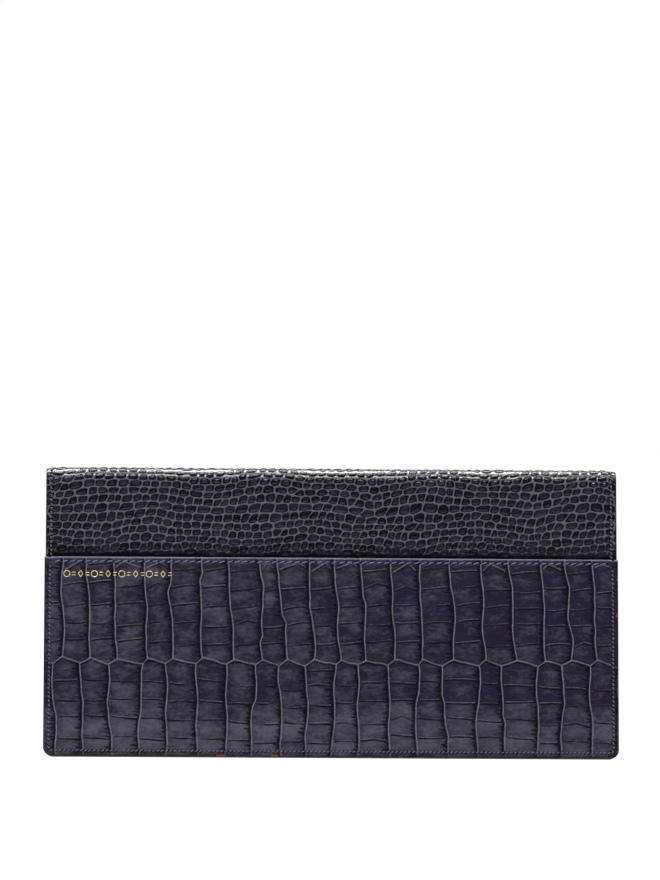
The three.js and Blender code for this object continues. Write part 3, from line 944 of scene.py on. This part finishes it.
def worn_paint(x, v, edge, width):
    """How much edge paint covers a leather, and from 1 to 2 where it is rubbed off again."""
    worn = np.zeros(np.broadcast(x, v).shape)
    for share_x, share_v, size in WORN_SPOTS:
        worn = np.maximum(worn, bump(np.hypot(x - share_x * width, v - share_v * POCKET_MOUTH), size))
    worn = smooth(0.35, 0.6, worn + 0.25 * noise(x, v, 0.5, 0.5, 71))
    return np.maximum(edge_paint(edge) * (1 + worn), 2 * worn * smooth(1.3, 0.6, edge))


def thinned(edge):
    """A leather's face against the CAD's: slightly lower, and more so near its cut edge."""
    return -0.3 * (1 - smooth(0, 5, edge)) - 0.3 * (1 - smooth(0, 0.45, edge)) - 0.1


def pocket_face():
    v = steps(POCKET_MOUTH, FINE, tuple(CORNER_STEPS))
    x = rounded_columns(v, POCKET_WIDTH, FINE)
    height_v = np.broadcast_to(v[:, None], x.shape)
    height, line, dark, gloss = POCKET_SCALES.evaluate(x, v)
    edge = edge_distance(x, height_v, POCKET_WIDTH)
    from_mouth = POCKET_MOUTH - height_v
    flat = 0.35 + 0.65 * smooth(1.2, 3.2, np.minimum(edge, from_mouth + 0.9))
    press_side, hole_side = pressed(POCKET_SEAM, SIDE_PITCH, x, height_v)
    press_mouth, hole_mouth = pressed(MOUTH_SEAM, MOUTH_PITCH, x, height_v)
    d = pocket_level(x, height_v) + height * flat - press_side - press_mouth
    d = d - 0.3 * (1 - smooth(0, 0.45, edge)) - 0.5 * (1 - smooth(0, 0.7, from_mouth))
    line = line * (0.8 + 0.2 * flat)
    # Painted highlight: a pale line along the mouth's rounded cut edge.
    line = np.maximum(line, 1.1 * bump(from_mouth - 0.2, 0.37))
    hole = np.maximum(hole_side, hole_mouth)
    line = line * (1 - hole)
    dark = np.maximum(dark * (0.4 + 0.6 * flat), hole)
    for shadow in (0.35 * bump(edge - SEAM_INSET, 0.35), 0.9 * bump(height_v, 0.45)):
        dark = np.maximum(dark, shadow)
    # Painted light and shade in the tone, which is named gloss here: lighter towards the bottom, a painted
    # reflection of the floor, and a little darker around 31 mm up and above 30 mm; painted shade outside the
    # seam, where the leather thins towards its edge; and darker from left to right, more so higher up.
    gloss = 0.7 * gloss - 0.13 + 0.5 * smooth(24, 11, height_v) - 0.06 * smooth(30, 50, height_v)
    gloss = gloss - 0.32 * smooth(SEAM_INSET + 0.3, SEAM_INSET - 0.8, edge) - 0.08 * bump(height_v - 31, 12)
    gloss = gloss - x / POCKET_WIDTH * (0.16 + 0.16 * smooth(10, 24, height_v))
    return Grid(x, v, d, (line, np.clip(dark, 0, 1), gloss, worn_paint(x, height_v, edge, POCKET_WIDTH)))


POCKET_GRID = pocket_face()
SEWN_LIP = 0.06  # depth that the pocket's painted sides reach where it is sewn down
for half, side in POCKET_GRID.halves():
    inside_seams = smooth(POCKET_WIDTH / 2 - 2, POCKET_WIDTH / 2 - 3.5, np.abs(half.x))
    open_mouth = smooth(0.5, 0.1, POCKET_MOUTH - half.v)[:, None] * inside_seams
    lip = SEWN_LIP + (POCKET_BACK - SEWN_LIP) * open_mouth
    piece = grid_piece(f"boarding_pocket_{side}_side", half, POCKET_BACK, POCKET_LEATHER, lip, (side,))
    attach(piece, ON_BACK, "pocket_leather", "boarding_pocket_leather")

# ---- Body leather ----

FLANK_ROWS = 32
FLANK_FIRST = POCKET_MOUTH - 9
FLANK_END = MIDDLE + 40  # where the front cover's large scales begin


def flank_rows():
    """Row heights and scale widths. One row, part of the way down the strip, is larger than the others."""
    rng = np.random.default_rng(12)
    heights = rng.uniform(2.75, 3.4, FLANK_ROWS)
    widths = rng.uniform(3.4, 4.5, FLANK_ROWS)
    level = FLANK_FIRST + np.cumsum(heights)
    large = int(np.searchsorted(level, MIDDLE - 20))
    heights[large] += 0.9
    widths[large] += 1.3
    return heights, widths


FLANK_SCALES = FlankScales(12, FLANK_FIRST, *flank_rows())
FRONT_SCALES = BellyScales(21, 118, -1, 33, TOTAL - FLANK_END + 6)
SHELL_SEAM_X = SHELL_WIDTH / 2 - SEAM_INSET


def shell_side_seams(t_low, t_high):
    return [SeamLine((x, t_low), (x, t_high)) for x in (-SHELL_SEAM_X, SHELL_SEAM_X)]


BACK_SIDE_SEAMS = shell_side_seams(POCKET_MOUTH + 0.3, HEIGHT)
SPINE_SEAMS = [shell_side_seams(*bend[2:]) for _, bend in SPINE_HALVES]
FRONT_SEAM = SeamU(SHELL_WIDTH, TOTAL - FRONT_START)


def shell_relief(x, t):
    """Scales of the body leather at points x, t. They run over the spine without a break."""
    height, line, dark, gloss = FLANK_SCALES.evaluate(x, t)
    edge = SHELL_WIDTH / 2 - np.abs(x)
    on_spine = bump(t - MIDDLE, 9)
    flat = (0.3 + 0.7 * smooth(0.9, 2.8, edge)) * (1 + 0.8 * on_spine)
    # The painted shade at the scales' rims is twice as strong on the spine, where it breaks up the highlight.
    dark = dark * (1 + on_spine)
    for seam in sum(SPINE_SEAMS, BACK_SIDE_SEAMS):
        press, hole = pressed(seam, SIDE_PITCH, x, t)
        height, dark, line = height - press, np.maximum(dark, hole), line * (1 - hole)
    return height * flat + thinned(edge), line, dark, gloss


HIDDEN_STRIP = 4  # the back's face is smooth from this far below the pocket's mouth


def shell_grid(t, columns):
    """Face of the back's strip or the spine."""
    x = np.broadcast_to(columns[None, :], (len(t), len(columns)))
    height_t = np.broadcast_to(t[:, None], x.shape)
    d, line, dark, gloss = shell_relief(x, height_t)
    hidden = smooth(POCKET_MOUTH - 2, POCKET_MOUTH - HIDDEN_STRIP, height_t)
    d = d * (1 - hidden) - 0.35 * hidden
    # Painted shadow above the pocket's mouth: a dark band right at the mouth that fades over a few mm, and
    # dimmer pale lines there.
    above_mouth = np.maximum(height_t - POCKET_MOUTH - 0.7, 0)
    dark = np.maximum(dark, np.maximum(bump(above_mouth, 0.8), 0.55 * bump(above_mouth, 2.2)))
    line = line * (1 - bump(above_mouth, 0.9)) * (1 - 0.3 * bump(above_mouth, 6))
    painted = worn_paint(x, height_t, SHELL_WIDTH / 2 - np.abs(x), SHELL_WIDTH)
    return Grid(x, t, d, (line, np.clip(dark, 0, 1), gloss, painted))


def make_back_and_spine():
    columns = steps(SHELL_WIDTH, FINE) - SHELL_WIDTH / 2
    strip = POCKET_MOUTH - HIDDEN_STRIP
    low = np.concatenate([CORNER_STEPS, np.linspace(CORNER, strip, 16)[1:]])
    high = np.linspace(strip, HEIGHT, int((HEIGHT - strip) / FINE) + 1)[1:]
    back = shell_grid(np.concatenate([low, high]), columns)
    below = half_width(back.v, SHELL_WIDTH) / (SHELL_WIDTH / 2)
    back.x = back.x * below[:, None]
    piece = grid_piece("back_leather_face", back, SHELL_BACK, BODY_LEATHER, BOND, ("high",))
    attach(piece, ON_BACK, "body_leather", "back_leather")
    for half, bend in SPINE_HALVES:
        name, joined = f"spine_leather_{half}_half", ("low", "high")
        face = shell_grid(np.linspace(*bend[2:], int(ARC / 2 / FINE) + 1), columns)
        piece = grid_piece(name, face, SHELL_BACK, BODY_LEATHER, BOND, joined)
        attach(piece, bend, "body_leather", "spine_leather")
    return back


def front_face():
    """The front cover: small scales that run down from the spine, and large ones below them."""
    v = steps(TOTAL - FRONT_START, FRONT_STEP, tuple(CORNER_STEPS), (0,))
    x = rounded_columns(v, SHELL_WIDTH, FRONT_STEP)
    height_v = np.broadcast_to(v[:, None], x.shape)
    flank = shell_relief(x, TOTAL - height_v)
    belly = FRONT_SCALES.evaluate(x, v)
    edge = edge_distance(x, height_v, SHELL_WIDTH)
    flat = 0.35 + 0.65 * smooth(1.2, 3.2, edge)
    belly = (belly[0] * flat + thinned(edge), *belly[1:])
    border = TOTAL - FLANK_END + 1.6 * np.sin(x / 4.1) + 2.0 * noise(x, 0, 17, 1, 41)
    above = height_v - border
    share = smooth(-0.5, 0.5, above)
    d, line, dark, gloss = (f * share + b * (1 - share) for f, b in zip(flank, belly))
    press, hole = pressed(FRONT_SEAM, SIDE_PITCH, x, height_v)
    d = d - 0.12 * bump(above, 1.0) - press
    line = np.maximum(line, 0.9 * bump(above, 0.45)) * (1 - hole)
    dark = np.maximum(dark, hole)
    return Grid(x, v, d, (line, np.clip(dark, 0, 1), gloss, edge_paint(edge)))


def make_front():
    face = front_face()
    for half, side in face.halves():
        name, joined = f"front_leather_{side}_side", (side, "high")
        piece = grid_piece(name, half, SHELL_BACK, BODY_LEATHER, BOND, joined, TOTAL - half.v)
        attach(piece, ON_FRONT, "body_leather", "front_leather")
    return face


BACK_GRID = make_back_and_spine()
FRONT_GRID = make_front()

# ---- Linings, boards and inner pockets ----

PLAIN_CORNER = 2.6
SPINE_STEPS = 18  # of a smooth sheet round a half circle of the spine
LINING_BOND = BOND - 0.02
PLAIN_MATERIALS = {"lining": LINING_LEATHER, "inner_leather": INNER_LEATHER, "board": BOARD}


def plain_sheet(node, suffix, body, slot, lip=None, corner=PLAIN_CORNER, t_span=None):
    """A smooth sheet in place of a CAD plate, with its rounded corners at the wallet's free edge.

    t_span is given for a half of one of the spine's plates, whose lower and upper sides join what comes next."""
    (x_low, x_high), t_reach, (d_low, d_high) = reach(node)
    t_low, t_high = t_span or t_reach
    length, width = t_high - t_low, x_high - x_low
    rounding = tuple(corner * (1 - np.cos(np.linspace(0, math.pi / 2, 7))))
    if t_span:
        v = steps(length, math.pi * RADIUS / SPINE_STEPS, (0,))
        half = np.full(len(v), width / 2)
    else:
        v = steps(length, PLAIN, rounding)
        half = half_width(v, width, corner)
    share = steps(width, PLAIN) / width * 2 - 1
    x = (x_low + x_high) / 2 + share[None, :] * half[:, None]
    height_v = np.broadcast_to(v[:, None], x.shape)
    t = t_high - height_v if t_low > MIDDLE else t_low + height_v
    shown, hidden, out = (d_low, d_high, -1) if d_high < 0 else (d_high, d_low, 1)
    from_side = width / 2 - np.abs(x - (x_low + x_high) / 2)
    edge = np.minimum(from_side, np.minimum(height_v + 0.4, length - height_v))
    pillow = 0.06 * (1 - smooth(0, 4, edge)) + 0.05 * (noise(x, t, 23, 17, 61) + 1)
    marks = (0.0, 0.0, 0.0, 1 - smooth(0.02, 0.3, edge))
    joined = ("low", "high") if t_span else ()
    material = PLAIN_MATERIALS[slot]
    piece = sheet_piece(f"{node}_{suffix}", x, t, shown - out * pillow, marks, hidden, material, lip, joined)
    attach(piece, body, slot, node)


def make_plain_sheets():
    covers = (("back", ON_BACK), ("front", ON_FRONT))
    plain_sheet("boarding_pocket_lining", "slip", ON_BACK, "lining")
    for cover, body in covers:
        plain_sheet(f"{cover}_stiffener_board", "sheet", body, "board")
    for cover, body in covers:
        plain_sheet(f"{cover}_lining", "leather", body, "lining", lip=LINING_BOND, corner=CORNER)
    for node, slot, lip in (("spine_lining", "lining", LINING_BOND), ("spine_reinforcement", "board", None)):
        t_low, t_high = reach(node)[1]
        for (half, bend), t_span in zip(SPINE_HALVES, ((t_low, MIDDLE), (MIDDLE, t_high))):
            plain_sheet(node, f"{half}_half", bend, slot, lip=lip, t_span=t_span)
    for node, body, under in (
        ("ticket_pocket", ON_BACK, "back_lining"),
        ("currency_pocket", ON_BACK, "ticket_pocket"),
        ("document_pocket", ON_FRONT, "front_lining"),
        ("passport_pocket", ON_FRONT, "document_pocket"),
        ("card_slot_rear", ON_FRONT, "document_pocket"),
        ("card_slot_middle", ON_FRONT, "card_slot_rear"),
        ("card_slot_front", ON_FRONT, "card_slot_middle"),
    ):
        plain_sheet(node, "slip", body, "inner_leather")


make_plain_sheets()

# ---- Stitching ----


def rise(x, v):
    """The back's heights are t already."""
    return x, v


def hang(x, v):
    """The front cover's heights, turned into t."""
    return x, TOTAL - v


def on_shell(x, t):
    return shell_relief(np.asarray(x), np.asarray(t))[0] + 0.1


def inner_level(layers, lining):
    """Depth of the outermost inner layer at a height. layers are nodes from the outermost to the deepest."""
    tops = [(*reach(node)[:2], reach(node)[2][0]) for node in layers]

    def level(x, t):
        depth = np.full(np.shape(x), reach(lining)[2][0])
        for (x_low, x_high), (t_low, t_high), face in reversed(tops):
            inside = (t > t_low) & (t < t_high) & (x > x_low) & (x < x_high)
            depth = np.where(inside, face, depth)
        return depth

    return level


def outer_run(seam, place, level):
    return seam, SIDE_PITCH, place, level, 1, 0.7


def inner_run(seam, place, level, pitch=SIDE_PITCH):
    return seam, pitch, place, level, -1, 0.4


def sew(name, body, node, *runs, material=THREAD):
    attach(stitches(name, runs, material), body, "thread", node)


BACK_POCKETS = ("currency_pocket", "ticket_pocket")
CARD_SLOTS = ("card_slot_front", "card_slot_middle", "card_slot_rear")
FRONT_POCKETS = CARD_SLOTS + ("passport_pocket", "document_pocket")
BACK_INSIDE = inner_level(BACK_POCKETS, "back_lining")
FRONT_INSIDE = inner_level(FRONT_POCKETS, "front_lining")


def make_outer_seams():
    """Stitches that go through the outer leathers. The covers' seams show on both faces."""
    runs = [outer_run(POCKET_SEAM, rise, POCKET_GRID.depth), inner_run(POCKET_SEAM, rise, BACK_INSIDE)]
    sew("back_perimeter_stitches", ON_BACK, "back_perimeter_seam", *runs)
    for seam, side in zip(BACK_SIDE_SEAMS, ("left", "right")):
        runs = [outer_run(seam, rise, BACK_GRID.depth), inner_run(seam, rise, BACK_INSIDE)]
        sew(f"back_upper_seam_{side}_stitches", ON_BACK, f"back_upper_seam_{side}", *runs)
    for seams, (half, bend) in zip(SPINE_SEAMS, SPINE_HALVES):
        for seam, side in zip(seams, ("left", "right")):
            sew(f"spine_{half}_stitches_{side}", bend, f"spine_seam_{side}", outer_run(seam, rise, on_shell))
    outside = outer_run(FRONT_SEAM, hang, FRONT_GRID.depth)
    inside = inner_run(FRONT_SEAM, hang, lambda x, v: FRONT_INSIDE(*hang(x, v)))
    sew("front_perimeter_stitches", ON_FRONT, "front_perimeter_seam", outside, inside)
    run = (MOUTH_SEAM, MOUTH_PITCH, rise, POCKET_GRID.depth, 1, 0.8)
    name = "boarding_pocket_mouth"
    sew(f"{name}_stitches", ON_BACK, f"{name}_seam", run, material=MOUTH_THREAD)


def make_inner_seams():
    """Stitches at the inner pockets' mouths, and between the passport pocket and the card slots."""
    for pocket in BACK_POCKETS[::-1] + FRONT_POCKETS[::-1]:
        node = f"{pocket}_mouth_seam"
        level = reach(pocket)[2][0]
        body = ON_BACK if pocket in BACK_POCKETS else ON_FRONT
        run = inner_run(seam_line(node), rise, lambda x, v: np.full(np.shape(x), level), MOUTH_PITCH)
        sew(f"{node}_stitches", body, node, run)
    for node in ("passport_pocket_side_seam", "card_slot_side_seam"):
        sew(f"{node}_stitches", ON_FRONT, node, inner_run(seam_line(node, True), rise, FRONT_INSIDE))


make_outer_seams()
make_inner_seams()

# ---- Foil ornament ----

FOIL_HEIGHT = 2.8
FOIL_WIDTH = 0.25  # of a stroke
FOIL_PITCH = 5.5
FOIL_FIGURES = 8
FOIL_LIFT = 0.05
FOIL_LEFT = 7.5  # from the pocket's left side
FOIL_BELOW = 5.6  # from its mouth


def stroke(points):
    """Left and right sides of a band along points."""
    ahead = np.gradient(points, axis=0)
    ahead /= np.linalg.norm(ahead, axis=1)[:, None]
    across = np.stack([-ahead[:, 1], ahead[:, 0]], 1) * FOIL_WIDTH / 2
    return points + across, points - across


def ornament_strokes():
    """A row of rings, pairs of dashes and lozenges, from x 0 on."""
    strokes = []
    middle = FOIL_HEIGHT / 2
    turn = np.linspace(0, 2 * math.pi, 33)
    ring = np.stack([np.cos(turn), np.sin(turn)], 1) * (middle - 0.16)
    corner = middle - 0.1
    lozenge = np.array([(0, corner), (corner * 0.7, 0), (0, -corner), (-corner * 0.7, 0), (0, corner)])
    x = middle
    for figure in range(FOIL_FIGURES):
        if figure % 2 == 0:
            strokes.append(ring + (x, middle))
        else:
            for start, end in zip(lozenge[:-1], lozenge[1:]):
                strokes.append(np.linspace(start, end, 7) + (x, middle))
        for lift in (-0.55, 0.55):
            strokes.append(np.stack([np.linspace(x + 2.05, x + 3.45, 6), np.full(6, middle + lift)], 1))
        x += FOIL_PITCH
    return strokes


def make_foil():
    """The ornament near the pocket's upper left corner, as thin closed bands that lie on the leather."""
    left, low = -POCKET_WIDTH / 2 + FOIL_LEFT, POCKET_MOUTH - FOIL_BELOW - FOIL_HEIGHT
    vertices, faces = [], []
    count = 0
    for points in ornament_strokes():
        size = len(points)
        sides = stroke(points)
        for lift in (FOIL_LIFT, -FOIL_LIFT):
            for line in sides:
                x, v = line[:, 0] + left, line[:, 1] + low
                vertices.append(fold(x, v, POCKET_GRID.depth(x, v) + lift))
        top_one, top_other, low_one, low_other = (count + size * k + np.arange(size) for k in range(4))
        for a, b in ((top_one, top_other), (top_other, low_other), (low_other, low_one), (low_one, top_one)):
            faces += np.stack([a[:-1], b[:-1], b[1:], a[1:]], -1).tolist()
        for end in (0, -1):
            faces.append([int(k[end]) for k in (top_one, top_other, low_other, low_one)])
        count += 4 * size
    piece = new_object("foil_ornament", np.concatenate(vertices), faces, FOIL)
    attach(piece, ON_BACK, "gold_foil")


make_foil()

# ---- Camera, light and floor ----

# Metres, degrees and a lens in mm.
CAMERA_PLACE = (-0.0816, -2.76, 0.1272)
CAMERA_YAW = 1.68
CAMERA_ROLL = 0.39
CAMERA_LENS = 280.3


def make_camera():
    data = bpy.data.cameras.new("camera")
    data.lens = CAMERA_LENS
    data.sensor_width = 36
    data.clip_start, data.clip_end = 0.1, 60
    camera = bpy.data.objects.new("camera", data)
    bpy.context.scene.collection.objects.link(camera)
    place = Matrix.Translation(CAMERA_PLACE)
    for degrees, axis in ((-CAMERA_YAW, "Z"), (90, "X"), (CAMERA_ROLL, "Z")):
        place = place @ Matrix.Rotation(math.radians(degrees), 4, axis)
    camera.matrix_world = place
    bpy.context.scene.camera = camera


def area_light(name, place, target, size, power, mirrored=True):
    """A lamp, in metres and watts. mirrored says whether the leather's gloss shows it."""
    data = bpy.data.lights.new(name, "AREA")
    data.shape = "RECTANGLE"
    data.size, data.size_y = size
    data.energy = power
    light = bpy.data.objects.new(name, data)
    light.visible_glossy = mirrored
    light.location = place
    light.rotation_mode = "QUATERNION"
    light.rotation_quaternion = (Vector(target) - Vector(place)).to_track_quat("-Z", "Y")
    bpy.context.scene.collection.objects.link(light)


def make_world(horizon, sky):
    """White round the horizon and below it, and darker above, so that the upright leather keeps its depth."""
    world = bpy.data.worlds.new("studio")
    world.use_nodes = True
    tree = world.node_tree
    direction = tree.nodes.new("ShaderNodeTexCoord").outputs["Generated"]
    parts = tree.nodes.new("ShaderNodeSeparateXYZ")
    tree.links.new(direction, parts.inputs[0])
    level = tree.nodes.new("ShaderNodeMapRange")
    level.interpolation_type = "SMOOTHSTEP"
    # The gradient lies a few degrees above the horizon.
    for key, value in (("From Min", 0.072), ("From Max", 0.12), ("To Min", horizon), ("To Max", sky)):
        level.inputs[key].default_value = value
    tree.links.new(parts.outputs["Z"], level.inputs["Value"])
    tree.links.new(level.outputs["Result"], tree.nodes["Background"].inputs["Strength"])
    tree.nodes["Background"].inputs["Color"].default_value = (1, 1, 1, 1)
    bpy.context.scene.world = world


def make_floor(half_size):
    corners = np.array([(-1, -1, 0), (1, -1, 0), (1, 1, 0), (-1, 1, 0)]) * half_size / MM
    new_object("floor", corners, [(0, 1, 2, 3)], FLOOR, [False])


make_camera()
make_world(horizon=1.0, sky=0.05)
make_floor(half_size=30.0)
area_light("back_softbox", (0.05, 0.5, 1.25), (0, 0, 0.1), (2.0, 0.5), 56)
area_light("front_fill", (-0.3, -0.8, 1.5), (0, 0, 0.05), (1.4, 0.6), 42, mirrored=False)
area_light("front_strip_light", (-0.2, -0.45, 1.3), (0, 0, 0.1), (1.2, 0.1), 13)
bpy.context.scene.view_settings.view_transform = "Standard"
